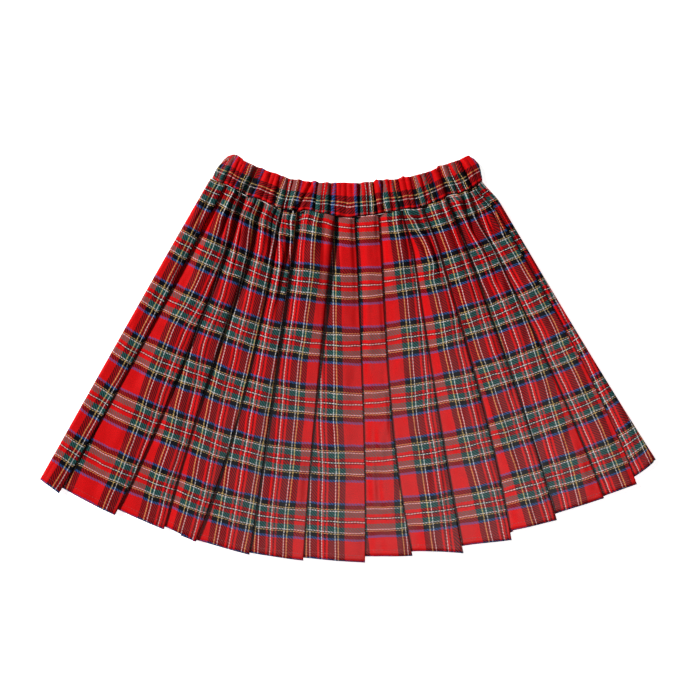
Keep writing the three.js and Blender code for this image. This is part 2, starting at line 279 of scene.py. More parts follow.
threadLook = {"twistScale": 900.0, "twistDistortion": 1.5, "roughness": 0.5}


# Spun polyester sewing thread: a fine twisted strand with a slight gloss.
def makeSewingThread():
    material = bpy.data.materials.new("polyesterThread")
    material.use_nodes = True
    tree = material.node_tree
    shader = tree.nodes["Principled BSDF"]
    where = addNode(tree, "ShaderNodeTexCoord")
    twist = addNode(tree, "ShaderNodeTexWave", {"Scale": threadLook["twistScale"],
                                                "Distortion": threadLook["twistDistortion"]},
                    {"Vector": where.outputs["Object"]})
    shade = addNode(tree, "ShaderNodeMix", {"data_type": "RGBA", 6: hexToLinear(yarn["thread"]),
                                            7: hexToLinear(yarn["threadLight"])},
                    {0: twist.outputs["Fac"]})
    tree.links.new(shade.outputs[2], shader.inputs["Base Color"])
    shader.inputs["Roughness"].default_value = threadLook["roughness"]
    return material


# One row a pleat, left to right: the angle of its folded edge at the waist, middle and hem,
# how far the fold tucks back, the radius of its bottom edge where it comes out and at its
# fold, where on the cloth the fold lies, counted in repeats of the tartan, how loose the
# pressed fold is under the waist and at the hem, and how many gathers its face has.
pleatNames = ("foldWaist", "foldMid", "foldHem", "tuck", "hemStart", "hemEnd",
              "clothWaist", "clothMid", "clothHem", "softWaist", "softHem", "gathers")
pleats = [dict(zip(pleatNames, row)) for row in (
    (-27.5, -27.6, -28.0, 12.6, 676.0, 679.0, 0.605, 0.566, 0.571, 1.6, 1.1, 1),
    (-22.3, -21.8, -22.4, 18.0, 672.5, 674.5, 1.757, 1.816, 1.742, 3.4, 1.4, 2),
    (-17.9, -18.1, -17.7, 19.8, 668.0, 671.0, 2.937, 2.882, 2.829, 3.0, 1.3, 2),
    (-13.9, -13.3, -14.4, 20.0, 668.0, 674.0, 3.934, 3.934, 3.776, 1.6, 2.0, 2),
    (-10.6, -9.8, -9.35, 17.5, 672.5, 676.0, 4.895, 4.947, 5.026, 3.0, 1.0, 2),
    (-3.3, -4.1, -4.3, 13.0, 674.0, 675.5, 6.191, 6.184, 6.172, 3.3, 0.3, 3),
    (1.4, 1.7, 1.5, 26.0, 672.5, 676.0, 7.303, 7.303, 7.303, 0.7, 0.2, 1),
    (6.0, 5.2, 5.9, 20.0, 669.5, 672.0, 8.342, 8.388, 8.575, 0.8, 0.7, 1),
    (11.8, 11.0, 10.7, 10.0, 667.5, 677.0, 9.737, 9.770, 9.905, 1.2, 1.3, 2),
    (16.4, 16.4, 15.4, 16.8, 669.5, 675.0, 10.737, 10.809, 10.789, 2.4, 1.2, 2),
    (21.2, 20.9, 20.0, 22.0, 665.5, 669.0, 11.763, 11.812, 11.822, 3.1, 1.6, 2),
    (25.6, 25.6, 24.9, 17.3, 662.5, 666.5, 12.928, 12.954, 13.171, 3.0, 1.9, 2),
    (29.2, 29.5, 28.3, 14.0, 665.0, 669.0, 14.075, 14.059, 14.053, 1.2, 1.1, 1),
)]
lastPleat = {"hemStart": 661.0, "hemEnd": 656.0, "clothWaist": 14.71, "clothMid": 14.737,
             "clothHem": 14.966, "softWaist": 1.0, "softHem": 0.5, "gathers": 1}

# How far, in mm, each pleat's weft hangs below an even curve: where the pleat comes out, at
# the waist, middle and hem, then the same three at its fold.
hangs = [
    (4.3, 5.0, 5.3, 3.9, 6.0, 6.5), (-0.5, 2.5, 3.0, 0.0, 1.6, 2.4),
    (-1.2, 0.6, -0.3, 1.5, 0.6, 1.0), (1.3, 0.9, -0.6, 4.2, 4.6, 3.3),
    (5.0, 3.2, 3.1, 5.5, 4.7, 5.3), (-0.2, 3.3, 6.8, 1.3, 3.2, 6.2),
    (1.0, 3.5, 4.2, 3.2, 5.2, 6.4), (1.8, 3.1, 1.9, 2.5, 3.5, 3.1),
    (-0.8, 0.8, -0.5, 0.5, 0.2, 1.8), (0.2, 0.6, 0.6, 2.5, 2.2, 3.8),
    (2.0, -1.7, -3.0, 3.5, -0.6, -0.8), (2.4, 0.3, -4.5, 4.0, 2.0, 0.9),
    (4.4, 3.7, 0.0, 5.5, 5.8, 4.5), (1.5, 0.0, 1.0, 2.6, 0.5, -2.0),
]
# Where the folded cloth has slipped sideways: each pleat's shift in mm at seven radii.
slipRadii = (320, 363, 407, 462, 517, 572, 630)
slips = [
    (0, 1, 0, 0, 0, -1, -1), (0, 5, 4, -1, 0.5, 4.5, 6), (0, 1, 3, -1, 4, 7.5, 4),
    (3, 2, 2, 0, -1, 0, 2), (-3, 3, 3, 2, 2, 2, 3.5), (1, 3, 2, 0.5, 3, 3.5, 1.5),
    (3, 4, 3.5, 3, 2, 3.5, 2), (0, 2, 4, 1, 0, 2, 0), (4, 3, 2, 0, -2.5, 0, 2),
    (2, 4, 4, 0, -1, -1, 0.5), (-2, 0, 0, -1, 1, 1, 1), (1.8, 3, 2.3, 1, -2.5, -5, -4.5),
    (14, 8, 7, 5.5, 1, -0.5, -1.5), (0.5, 1, 1.5, 0.5, 0, -1.5, -1),
]
sideLeft = (-31.0, -30.6, -30.25)
sideRight = (30.8, 30.75, 31.0)

panelShape = {
    "thickness": 0.5,
    "layerStep": 0.85,         # centre line to centre line of two pressed layers
    "clearance": 0.1,
    "foldRadius": 0.45,
    "uneven": 0.25, "unevenDown": 0.017, "unevenStep": 2.6,    # a loose fold varies along itself
    "softHemShare": 0.6,
    "looseFrom": 0.8, "looseOver": 1.5, "looseWiden": 0.8,     # and bulges out to its side
    "tuckShare": 0.42,         # the most of a face that its fold may tuck back
    "tuckSpare": 2.0, "tuckAtWaist": 1.25,
    "comeOut": 1.6,            # a face shows from here, past the fold before it
    "narrowest": 0.6,
    "foldBlend": 0.5, "climbShort": 2.0, "climbSpread": 2.2,
    "sideRoll": 3.3, "sideInset": 0.5, "sideBlend": 0.6,
    "backInner": 3.3, "frontInner": 4.7,
    "fullness": (1.22, 1.09, 1.05),            # mm of cloth in each mm of a face, waist to hem
    "pinch": 0.6, "pinchLength": 14,           # held in by the seam, puffed just under it
    "gatherFade": 48, "gatherShift": 0.13, "gatherPinched": 0.35,
    "waveHeight": 2.0, "waveAcross": 0.045, "waveDown": 0.012, "waveShift": 7.3, "waveRaise": 0.25,
    "crumpleHeight": 0.9, "crumpleAcross": 0.11, "crumpleDown": 0.045, "crumpleShift": 3.1,
    "creaseIn": 8, "creaseOut": 2.5,           # how fast a crease starts and ends
    "creaseFloor": 1.8,                        # and how far it may sink, in fold radii
    "hemTurn": 0.3, "hemDepth": 9, "hemStep": 1.5,             # the turned hem thickens the edge
    "hemHook": 1.6,                            # how late the hem drops to its fold
    "rowsFiner": 1.12,                         # rows lie closer under the waistband
    "faceSteps": 20, "foldSteps": 6, "layerSteps": 3, "hiddenSteps": 4, "sideSteps": 5,
    "lengthSteps": 86,
}


# The pleats behind follow those in front, a little swayed. Their edge stays 4 mm short of the
# front's, also a little to each side.
behind = {"sway": 0.45, "swayStep": 2.3, "swayStart": 0.8, "swayAtWaist": 0.6,
          "shortBy": 4.0, "aside": 1.2}


def backRows():
    rows = []
    for i, pleat in enumerate(pleats):
        sway = behind["sway"] * math.sin(behind["swayStep"] * i + behind["swayStart"])
        row = dict(pleat)
        row.update(foldWaist=pleat["foldWaist"] + sway * behind["swayAtWaist"],
                   foldMid=pleat["foldMid"] + sway, foldHem=pleat["foldHem"] + sway)
        rows.append(row)
    edges = [-sideRight[2]] + [row["foldHem"] for row in rows] + [-sideLeft[2]]
    for i, row in enumerate(rows):
        row.update(hemStart=backHem(edges[i]), hemEnd=backHem(edges[i + 1]))
    last = dict(lastPleat)
    last.update(hemStart=backHem(edges[-2]), hemEnd=backHem(edges[-1]))
    return rows, last


# The radius of the front's bottom edge at an angle.
def frontHem(angle):
    edges = [sideLeft[2]] + [pleat["foldHem"] for pleat in pleats] + [sideRight[2]]
    rows = pleats + [lastPleat]
    for i, row in enumerate(rows):
        if angle <= edges[i + 1] or i == len(rows) - 1:
            f = min(max((angle - edges[i]) / (edges[i + 1] - edges[i]), 0), 1)
            return row["hemStart"] + (row["hemEnd"] - row["hemStart"]) * f


def backHem(angle):
    turns = (-behind["aside"], 0.0, behind["aside"])
    return min(frontHem(-angle + turn) for turn in turns) - behind["shortBy"]


# Adds points round a fold, from one angle to another in degrees.
def arcPoints(path, s, z, acrossRadius, upRadius, fromAngle, toAngle, steps, hem, kind):
    for k in range(steps + 1):
        q = math.radians(fromAngle + (toAngle - fromAngle) * k / steps)
        path.append([s + acrossRadius * math.cos(q), z + upRadius * math.sin(q), hem, 0.0, 0.0, kind])


# Creases of the front: angle and radius at the upper and lower end, then width
# and depth in mm. A negative depth is a soft ridge.
creaseEnds = ("topAngle", "topRadius", "lowAngle", "lowRadius", "width", "depth")
frontCreases = [dict(zip(creaseEnds, row)) for row in (
    (-21.8, 285, -21.8, 350, 2.7, 7.0), (-21.5, 300, -21.4, 450, 2.0, 3.6),
    (-20.6, 290, -19.4, 400, 1.8, 3.0), (-17.3, 285, -17.2, 430, 3.0, 6.0),
    (-16.6, 290, -15.4, 350, 2.2, -1.4), (-14.9, 290, -14.2, 380, 1.8, 2.8),
    (-13.0, 285, -12.4, 330, 3.4, 7.0), (-11.7, 287, -11.1, 420, 2.5, 4.8),
    (-9.9, 285, -9.8, 420, 2.6, 4.6), (-8.3, 290, -7.9, 350, 3.2, 1.8),
    (-5.2, 290, -4.9, 345, 2.6, 1.6), (-2.6, 285, -2.5, 600, 3.0, 5.0),
    (2.5, 285, 2.3, 420, 3.0, 0.9), (6.9, 285, 6.8, 400, 2.6, 1.2),
    (12.2, 285, 12.0, 330, 2.4, 4.4), (13.6, 316, 14.2, 356, 2.4, 5.4),
    (12.9, 290, 13.5, 335, 1.6, 2.4), (15.4, 300, 16.0, 380, 2.6, 5.4),
    (18.2, 290, 18.4, 400, 2.0, 2.0), (19.9, 290, 20.1, 430, 1.8, 2.6),
    (21.9, 285, 21.8, 470, 3.6, 6.0), (24.3, 290, 24.3, 420, 2.2, 4.4),
    (26.2, 290, 26.0, 460, 2.4, 4.4), (27.1, 288, 27.3, 400, 2.0, 3.6),
    (28.5, 288, 28.8, 370, 2.2, 3.4), (-28.9, 288, -29.2, 360, 2.4, 2.2),
    (-26.9, 300, -27.1, 420, 2.0, 1.8), (-25.0, 292, -25.4, 350, 3.0, -1.4),
    (-24.0, 288, -23.7, 360, 2.0, 2.6), (-25.8, 380, -26.2, 560, 5.0, 1.4),
    (-24.4, 560, -25.0, 676, 5.0, 1.5), (-20.6, 560, -20.4, 676, 6.0, 1.3),
    (-19.3, 420, -18.9, 600, 4.0, 1.6), (-15.4, 470, -15.9, 676, 5.0, 1.4),
    (-11.6, 440, -11.9, 640, 6.0, 1.4), (-6.4, 420, -6.2, 676, 7.0, 1.2),
    (3.0, 520, 3.3, 650, 3.0, 1.5), (8.6, 430, 8.2, 660, 6.0, 1.3),
    (13.4, 400, 13.0, 600, 6.0, 1.4), (18.6, 430, 18.2, 676, 5.0, 1.3),
    (22.6, 400, 22.4, 640, 5.0, 1.5), (26.9, 430, 26.6, 640, 4.0, 1.4),
)]


# A crease fades in at its upper end and out towards its lower one.
def troughDepth(crease, angle, radius):
    share = (radius - crease["topRadius"]) / (crease["lowRadius"] - crease["topRadius"])
    if share <= 0 or share >= 1:
        return 0.0
    middle = crease["topAngle"] + (crease["lowAngle"] - crease["topAngle"]) * share
    off = math.radians(angle - middle) * radius / crease["width"]
    return crease["depth"] * math.exp(-off * off) * smooth(share * panelShape["creaseIn"]) \
        * smooth((1 - share) * panelShape["creaseOut"])


# How far, in degrees, the gathers pull the cloth sideways at the seam, and a little below it.
seamPull = [(-27, 0.0), (-24, -0.3), (-22.5, -0.9), (-21.6, -0.5), (-20.3, -0.6), (-18.1, -1.2),
            (-16, -0.8), (-13.9, -0.2), (-12.4, -0.9), (-10.8, -0.2), (-9, 0.0), (11, -0.2), (12.6, -1.2),
            (14.4, -1.7), (16, -0.6), (17.5, 0.0), (22, 0.2), (24.4, 1.2), (26, 1.3), (28, 0.2), (29, 0.0)]
belowPull = [(-27, 0.0), (-22, -0.2), (-20, -0.6), (-17, -0.5), (-14, -0.2), (-12, 0.3), (-10, 0.0),
             (12, 0.0), (14.5, 0.3), (17, 0.1), (22, 0.0), (24.5, -0.6), (26.5, -0.3), (28, 0.0)]
# The radii where the two pulls start and have faded out, and how fast they do so.
pull = {"seamEnd": 345, "belowStart": 297, "belowEnd": 375, "rise": 22, "fade": 50}


def pulled(angle, radius):
    degrees = math.degrees(angle)
    atSeam = smooth((pull["seamEnd"] - radius) / pull["fade"])
    below = smooth((radius - pull["belowStart"]) / pull["rise"]) \
        * smooth((pull["belowEnd"] - radius) / pull["fade"])
    return angle + math.radians(between(seamPull, degrees) * atSeam + between(belowPull, degrees) * below)


def hemUnder(pleat, share):
    drop = min(max(share, 0), 1) ** panelShape["hemHook"]
    return pleat["hemStart"] + (pleat["hemEnd"] - pleat["hemStart"]) * drop


# One section across a panel: s along the arc, z above its inmost layer, the hem's radius
# under that point, the place across the cloth and how far the weft hangs there.
def panelSection(panel, row):
    shape = panelShape
    radius = lay["seamRadius"] + row * (lay["hemRadius"] - lay["seamRadius"])
    inRadians = math.radians(1) * radius
    down = row * lay["clothLength"]
    pinch = shape["pinch"] + (1 - shape["pinch"]) * smooth(down / shape["pinchLength"])
    fullness = along(radius, *shape["fullness"])
    path = []
    marks = []
    first = along(radius, *panel["start"]) * inRadians
    last = along(radius, *panel["end"]) * inRadians
    before = first
    rows = panel["rows"] + [panel["tail"]]
    for i, pleat in enumerate(rows):
        tail = i == len(rows) - 1
        fold = last if tail else along(
            radius, pleat["foldWaist"], pleat["foldMid"], pleat["foldHem"]) * inRadians
        width = fold - before
        uneven = 1 + shape["uneven"] * math.sin(down * shape["unevenDown"] + i * shape["unevenStep"])
        soft = shape["foldRadius"] + panel["lift"] * uneven * (
            pleat["softWaist"] * (1 - row) ** 2 * pinch
            + shape["softHemShare"] * pleat["softHem"] * row ** 2)
        loose = smooth((soft - shape["looseFrom"]) / shape["looseOver"])
        across = soft * (1 + shape["looseWiden"] * panel["lift"] * loose)
        top = shape["layerStep"] + 2 * soft
        longest = shape["tuckShare"] * width + shape["tuckSpare"]
        grown = shape["tuckAtWaist"] - (shape["tuckAtWaist"] - 1) * row
        tuck = 0 if tail else min(pleat["tuck"] * grown, longest)
        clothEnd = along(radius, pleat["clothWaist"], pleat["clothMid"], pleat["clothHem"]) \
            * lay["warpSett"]
        clothEnd -= panel["lift"] * between(list(zip(slipRadii, slips[i])), radius)
        clothStart = clothEnd - width * fullness
        hang = [panel["lift"] * along(radius, *panel["hangs"][i][k:k + 3]) for k in (0, 3)]
        if i == 0:
            arcPoints(path, first + shape["sideInset"] + shape["sideRoll"], panel["sideZ"],
                      shape["sideRoll"], top - panel["sideZ"], 180, 90, shape["sideSteps"],
                      pleat["hemStart"], "side")
            marks.append((0, clothStart, hang[0]))
            start = first + shape["sideInset"] + shape["sideRoll"] + shape["sideBlend"]
        else:
            marks.append((len(path) - 1, clothStart, hang[0]))
            start = before + shape["comeOut"]
        sideEnd = shape["sideInset"] + shape["sideRoll"] + shape["sideBlend"]
        end = fold - (sideEnd if tail else across + shape["foldBlend"])
        end = max(end, start + shape["narrowest"])
        climb = max((end if tail else fold - tuck - shape["climbShort"]) - start, 0.5)
        steep = min(climb, panel["waistClimb"])
        spread = 0 if panel["flatFace"] else smooth(row * shape["climbSpread"])
        climb = steep + (climb - steep) * spread
        for k in range(shape["faceSteps"] + 1):
            f = k / shape["faceSteps"]
            s = start + (end - start) * f
            rise = 1.0 if i == 0 else smooth((s - start) / climb)
            z = top * rise
            # gathers held by the waist seam, dying out down the cloth
            turns = pleat["gathers"] * f + shape["gatherShift"] * i
            ripple = 0.5 - 0.5 * math.cos(2 * math.pi * turns)
            held = shape["gatherPinched"] + (1 - shape["gatherPinched"]) * pinch
            z += panel["ripple"] * ripple * math.exp(-down / shape["gatherFade"]) \
                * smooth(f * 5) * smooth((1 - f) * 5) * held
            # slow waves where the cloth isn't quite flat
            wave = noise.noise(Vector((s * shape["waveAcross"] + shape["waveShift"] * i,
                                       down * shape["waveDown"], panel["seed"])))
            crumple = noise.noise(Vector((
                s * shape["crumpleAcross"],
                down * shape["crumpleDown"] + shape["crumpleShift"] * i, panel["seed"] + 5)))
            z += panel["lift"] * smooth(f * 4) * smooth((1 - f) * 6) \
                * (shape["waveHeight"] * max(wave + shape["waveRaise"], 0)
                   + shape["crumpleHeight"] * crumple)
            lowest = max(shape["layerStep"] + shape["thickness"] + shape["clearance"],
                         top - shape["creaseFloor"] * soft + 0.3)
            floor = 0.0 if i == 0 else min(top, lowest * smooth((s - start) / climb))
            for crease in panel["creases"]:
                z -= troughDepth(crease, math.degrees(s / radius), radius)
            z = max(z, floor)
            path.append([s, z, hemUnder(pleat, (s - before) / width), 0.0, 0.0, "face"])
        if tail:
            reach = max(last - shape["sideInset"] - end - shape["sideBlend"], 0.4)
            arcPoints(path, end + shape["sideBlend"], panel["sideZ"], reach, top - panel["sideZ"],
                      90, 0, shape["sideSteps"], pleat["hemEnd"], "side")
            marks.append((len(path) - 1, clothEnd, hang[1]))
            break
        arcPoints(path, fold - across, top - soft, across, soft, 90, -90, shape["foldSteps"],
                  pleat["hemEnd"], "fold")
        marks.append((len(path) - 1 - shape["foldSteps"] // 2, clothEnd, hang[1]))
        under = rows[i + 1]["hemStart"]
        underMid = (pleat["hemEnd"] + under) / 2 - 1
        innerEnd = fold - tuck + shape["foldRadius"]
        back = path[-1][0]
        level = shape["layerStep"]
        for k in range(1, shape["layerSteps"]):
            f = k / shape["layerSteps"]
            path.append([back + (innerEnd - back) * f, level,
                         pleat["hemEnd"] + (underMid - pleat["hemEnd"]) * f, 0.0, 0.0, "under"])
        arcPoints(path, innerEnd, level / 2, shape["foldRadius"], level / 2, 90, 270,
                  shape["hiddenSteps"], underMid, "under")
        for k in range(1, shape["layerSteps"] + 1):
            f = k / shape["layerSteps"]
            path.append([innerEnd + (fold - innerEnd) * f, 0.0, under, 0.0, 0.0, "under"])
        before = fold
    # the cloth between two marks is shared out by length along the section
    for (a, clothA, hangA), (b, clothB, hangB) in zip(marks, marks[1:]):
        lengths = [0.0]
        for j in range(a, b):
            lengths.append(lengths[-1] + math.hypot(path[j + 1][0] - path[j][0],
                                                    path[j + 1][1] - path[j][1]))
        for j in range(a, b + 1):
            share = lengths[j - a] / max(lengths[-1], 1e-6)
            path[j][3] = clothA + (clothB - clothA) * share
            path[j][4] = hangA + (hangB - hangA) * share
    return radius, path


def reachOf(row, hem):
    mean = lay["hemRadius"]
    return lay["seamRadius"] + lay["seamGap"] + row * (mean - lay["seamRadius"]) \
        + (hem - mean) * row ** lay["hemBend"]


# The gathers draw the right side in under the band, more and more from this angle on.
sideDraw = {"share": 0.034, "from": 14, "over": 15, "fade": 10}


def sectionPoint(panel, row, radius, point):
    angle = panel["side"] * point[0] / radius
    height = panel["base"] + panel["side"] * point[1]
    if panel["lift"]:
        angle = pulled(angle, radius)
    sag = panel["lift"] * between(seamSag, math.degrees(angle)) * (1 - smooth(row * lay["sagFade"]))
    angle *= 1 - sideDraw["share"] * (1 - smooth(row * sideDraw["fade"])) \
        * smooth((math.degrees(angle) - sideDraw["from"]) / sideDraw["over"])
    return placed(angle, reachOf(row, point[2]) + sag, height)


# Height on the cloth above its hem: even in the garment, but level with the edge at the hem.
def upCloth(row, hem, hang):
    reach = reachOf(row, hem)
    fromEdge = hem - reach
    even = (lay["hemRadius"] - reach) * lay["clothLength"] / (lay["hemRadius"] - lay["seamRadius"])
    return fromEdge + (even + hang - fromEdge) * smooth(fromEdge / lay["evenAbove"])


def buildPanel(panel, material):
    shape = panelShape
    rows = shape["lengthSteps"]
    sections = []
    for k in range(rows + 1):
        row = (1 - k / rows) ** shape["rowsFiner"]
        sections.append((row, *panelSection(panel, row)))
    columns = len(sections[0][2]) - 1
    bm = bmesh.new()
    bmesh.ops.create_grid(bm, x_segments=columns, y_segments=rows, size=1.0)
    uv = bm.loops.layers.uv.new("cloth")
    spots = {}
    for vert in bm.verts:
        column = round((vert.co.x + 1) / 2 * columns)
        k = round((vert.co.y + 1) / 2 * rows)
        row, radius, path = sections[k]
        point = path[column]
        turned = 0.0
        if point[5] == "face":
            intoHem = (row - 1) * lay["clothLength"] + shape["hemDepth"]
            turned = shape["hemTurn"] * smooth(intoHem / shape["hemStep"])
        vert.co = sectionPoint(panel, row, radius, (point[0], point[1] + turned, *point[2:]))
        spots[vert] = (point[3] / mapUnit, upCloth(row, point[2], point[4]) / mapUnit)
    for face in bm.faces:
        for loop in face.loops:
            loop[uv].uv = spots[loop.vert]
    piece = newPiece(panel["name"], bm, material)
    addThickness(piece, shape["thickness"] * mm)
    print(panel["name"], columns, "by", rows)
    return piece


front = {
    "name": "frontPanelCloth", "side": 1, "base": panelShape["frontInner"],
    "rows": pleats, "tail": lastPleat, "start": sideLeft, "end": sideRight,
    "hangs": hangs, "creases": frontCreases, "sideZ": 4.15 - panelShape["frontInner"],
    "waistClimb": 13.0, "flatFace": False, "ripple": 2.2, "lift": 1.0, "seed": 3.1,
}
rowsBehind, lastBehind = backRows()
back = {
    "name": "backPanelCloth", "side": -1, "base": panelShape["backInner"],
    "rows": rowsBehind, "tail": lastBehind,
    "start": tuple(-a for a in sideRight), "end": tuple(-a for a in sideLeft),
    "hangs": hangs[::-1], "creases": [], "sideZ": panelShape["backInner"] - 3.85,
    "waistClimb": 7.0, "flatFace": True, "ripple": 0.0, "lift": 0.0, "seed": 8.4,
}

band = {
    "name": "waistbandCasing",
    "topRadius": 259.4, "seamRadius": 294.5,
    # where its two ends lie, by radius
    "left": [(260, -29.7), (264, -30.4), (270, -30.7), (282, -31.0), (295, -30.85)],
    "right": [(261, 30.2), (266, 30.8), (275, 31.0), (282, 30.7), (288, 30.3), (295, 29.9)],
    "wall": 3.0, "rise": 3.6,
    "middleBack": 1.5, "middleFront": 5.2,
    "frontSteps": 400, "rollSteps": 8, "backSteps": 150,
    "endFade": 8,                 # mm over which the gathers die out at the sides
    "redWidth": 25.2,             # a red block round the band with its blue edges, in mm
    "beforeRed": 3.2, "afterRate": 0.2,
    "redStartRadius": 273.1,      # below this radius the first red block ends
    "topStretch": 1.1,
    "wander": 1.6, "wanderRate": 0.22, "wanderSeed": 5.3,
    "backRate": 0.13125,          # repeats of the tartan a degree behind, gathers counted
    "rollRate": 0.05,             # and at each step round a side
    "outsideRows": 14, "foldRows": 6, "insideRows": 5,
    "lipShare": 0.5, "lipMid": 0.85, "lipDepth": 1.4,      # the walls thin towards the seam
    "swell": 0.35, "puff": 0.3, "puffAt": 2.2,
    "lumps": 0.35, "lumpAround": 0.9, "lumpDown": 0.05, "lumpSeed": 1.7,
    "flattest": -0.25, "lowest": 0.05,
    "creaseMiddle": 277, "leanOver": 35,
}
# Creases in the casing: where each crosses its middle, how it leans, its width and depth.
creaseNames = ("at", "lean", "width", "depth")
creases = [dict(zip(creaseNames, row)) for row in (
    (-29.6, 0.3, 0.35, 0.5), (-28.3, -0.5, 0.4, 0.9), (-27.0, -0.3, 0.3, 0.5), (-26.1, -0.2, 0.3, 0.4),
    (-25.2, 0.3, 0.4, 0.4), (-22.7, 0.5, 0.7, 1.3), (-21.0, 0.6, 0.4, 0.4), (-19.0, 0.3, 0.4, 0.3),
    (-17.9, 0.1, 0.3, 0.3), (-16.5, -0.4, 0.45, 0.7), (-14.3, -0.4, 0.4, 0.7), (-13.4, -0.2, 0.35, 0.8),
    (-10.1, 2.4, 0.4, 1.25), (-7.4, 0.0, 0.3, 0.6), (-4.3, -0.2, 0.4, 1.0), (-2.9, -0.2, 0.3, 0.35),
    (-0.6, 0.1, 0.4, 0.3), (2.5, 0.2, 0.4, 0.9), (4.6, 0.2, 0.3, 0.45), (6.1, -0.4, 0.35, 0.7),
    (7.8, 0.9, 0.4, 1.15), (9.7, 0.2, 0.3, 0.55), (10.9, -0.5, 0.4, 0.7), (12.0, -0.2, 0.3, 0.6),
    (13.6, 0.1, 0.3, 0.3), (14.8, 0.3, 0.4, 0.6), (17.4, 0.5, 0.35, 0.7), (18.4, 0.6, 0.35, 0.9),
    (20.0, 0.2, 0.3, 0.4), (22.0, 0.4, 0.45, 1.1), (24.2, 0.4, 0.35, 0.6), (26.0, 0.6, 0.3, 0.5),
    (27.5, 0.1, 0.45, 1.0), (29.2, -0.3, 0.4, 0.4),
)]
# How far the gathered top edge stands up past its even line, in mm, and the frill's sharp tips.
topFrill = [(-31, -3.5), (-30, -1.8), (-28.3, 0.6), (-27.0, 0.1), (-26.3, -1.6), (-23, -1.5),
            (-21.5, -0.9), (-20, -1.7), (-18, -1.1), (-16, -1.8), (-14.5, -2.6), (-13, -2.0),
            (-12, -0.8), (-11, -1.6), (-9.5, -1.2), (-8.5, 0.7), (-7.8, 0.0), (-7.0, -1.0),
            (-5.2, 0.7), (-4.5, 0.2), (-3, 0.9), (-1, 1.3), (1, 0.9), (2, 0.5), (4, 1.4), (6, 0.9),
            (6.7, 3.0), (7.3, 2.0), (9, 1.8), (10.5, 0.5), (11.5, -0.2), (12.5, 0.3), (13.3, 1.6),
            (14.0, -0.2), (15.2, -0.9), (18, -1.2), (20, -1.8), (21.6, -1.2), (22.3, 0.9),
            (23.3, -1.0), (24.5, -1.3), (26, -2.2), (27.2, -3.0), (29.5, -3.3), (31, -4.5)]
# Each red block of the tartan that shows round the front of the band, from edge to edge.
redBlocks = [(-28.0, -25.5), (-21.1, -16.5), (-11.5, -8.3), (-3.5, 1.5),
             (6.05, 7.2), (11.9, 14.8), (19.6, 22.0), (27.2, 30.5)]
# Most of the cloth between the first two blocks is drawn into one deep gather.
deepGather = {"after": 0, "knots": ((-23.4, 0.58), (-22.1, 0.93))}


# The place round the casing's cloth, in repeats of the tartan.
def bandCloth(angle):
    redShare = band["redWidth"] / lay["weftSett"]
    knots = [(redBlocks[0][0] - band["beforeRed"], -1 + redShare)]
    for i, (start, end) in enumerate(redBlocks):
        knots += [(start, float(i)), (end, i + redShare)]
        if i == deepGather["after"]:
            knots += [(angle, i + share) for angle, share in deepGather["knots"]]
    for (a, p), (b, q) in zip(knots, knots[1:]):
        if angle <= b:
            return p + (q - p) * (angle - a) / (b - a)
    return knots[-1][1] + (angle - knots[-1][0]) * band["afterRate"]


# How high the gathered casing stands, as a share of its rise.
def bandHeight(angle, radius):
    lean = (band["creaseMiddle"] - radius) / band["leanOver"]
    z = 1.0
    for crease in creases:
        off = (angle - crease["at"] - crease["lean"] * lean) / crease["width"]
        z -= crease["depth"] * math.exp(-off * off)
        # the gathered cloth puffs up on both sides of a tight crease
        z += band["puff"] * crease["depth"] * math.exp(-(abs(off) - band["puffAt"]) ** 2)
    z += band["lumps"] * noise.noise(Vector((
        angle * band["lumpAround"], radius * band["lumpDown"], band["lumpSeed"])))
    return max(z, band["flattest"])


# One ring of the casing: over the front, round the right side, back behind and round the left.
def bandSection(radius):
    inRadians = math.radians(1) * radius
    middle = (band["middleFront"] + band["rise"] * 0.5 + band["middleBack"]) / 2
    rise = middle - band["middleBack"]
    left = between(band["left"], radius) * inRadians + band["wall"] / 2 + rise
    right = between(band["right"], radius) * inRadians - band["wall"] / 2 - rise
    path = []
    for k in range(band["frontSteps"]):
        s = left + (right - left) * k / band["frontSteps"]
        angle = s / inRadians
        edge = smooth(min(s - left, right - s) / band["endFade"])
        z = middle + rise + band["rise"] * (bandHeight(angle, radius) - 0.5) * edge
        path.append((s, z, bandCloth(angle)))
    for k in range(band["rollSteps"]):
        q = math.radians(90 - 180 * k / band["rollSteps"])
        s = right + rise * math.cos(q)
        path.append((s, middle + rise * math.sin(q),
                     bandCloth(right / inRadians) + band["rollRate"] * k))
    turn = bandCloth(right / inRadians) + band["rollRate"] * band["rollSteps"]
    for k in range(band["backSteps"]):
        s = right + (left - right) * k / band["backSteps"]
        path.append((s, band["middleBack"], turn + band["backRate"] * (right - s) / inRadians))
    turn += band["backRate"] * (right - left) / inRadians
    for k in range(band["rollSteps"]):
        q = math.radians(270 - 180 * k / band["rollSteps"])
        s = left + rise * math.cos(q)
        path.append((s, middle + rise * math.sin(q), turn + band["rollRate"] * k))
    return path


